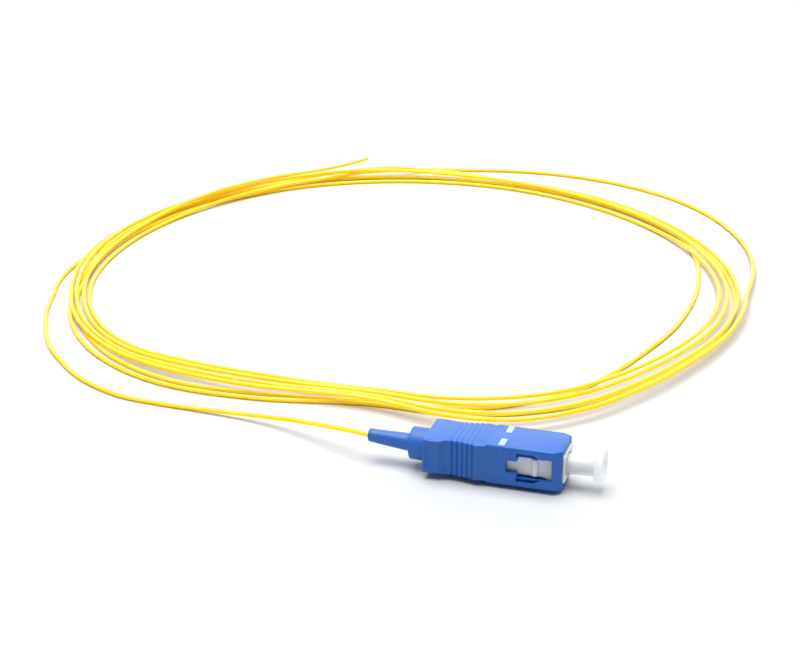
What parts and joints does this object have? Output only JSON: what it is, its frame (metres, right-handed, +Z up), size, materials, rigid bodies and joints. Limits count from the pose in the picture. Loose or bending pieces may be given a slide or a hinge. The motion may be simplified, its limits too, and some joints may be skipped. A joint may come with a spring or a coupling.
{
  "type": "fibre optic pigtail",
  "caption": "Square push-pull fibre plug with short boot and dust cap on a loose coil of thin tight-buffered fibre with a bare free end.",
  "frame": {"origin": "on the floor under the middle of the plug, measured from the boot's thin end to the dust cap's front, and under the plug's axis", "axes": "+X along the plug towards its mouth, +Y across it towards the coil, +Z up with the plug lying on its key"},
  "size_m": [0.16, 0.1777, 0.0082],
  "materials": {
    "blue_plastic": "moulded, semi-gloss",
    "boot_plastic": "soft moulded, satin",
    "white_plastic": "moulded, satin",
    "rear_body_metal": "turned, plated",
    "flange_metal": "turned",
    "ferrule_ceramic": "polished",
    "cap_plastic": "milky translucent",
    "fibre_jacket": "smooth extruded buffer"
  },
  "bodies": {
    "plug": {"inner_housing": "white_plastic", "rear_body": "rear_body_metal", "boot": "boot_plastic", "fibre_lead": "fibre_jacket", "fibre_coil": "fibre_jacket"},
    "sleeve": {"outer_housing": "blue_plastic"},
    "ferrule_unit": {"ferrule": "ferrule_ceramic", "ferrule_flange": "flange_metal"},
    "cap": {"dust_cap": "cap_plastic"}
  },
  "joints": [
    {"name": "sleeve_pull", "type": "slide", "parent": "plug", "child": "sleeve", "axis": [1, 0, 0], "range_m": [-0.0015, 0]},
    {"name": "ferrule_float", "type": "slide", "parent": "plug", "child": "ferrule_unit", "axis": [1, 0, 0], "range_m": [-0.001, 0], "stiffness_N_per_m": 50},
    {"name": "cap_pull", "type": "slide", "parent": "ferrule_unit", "child": "cap", "axis": [1, 0, 0], "range_m": [0, 0.012]}
  ]
}
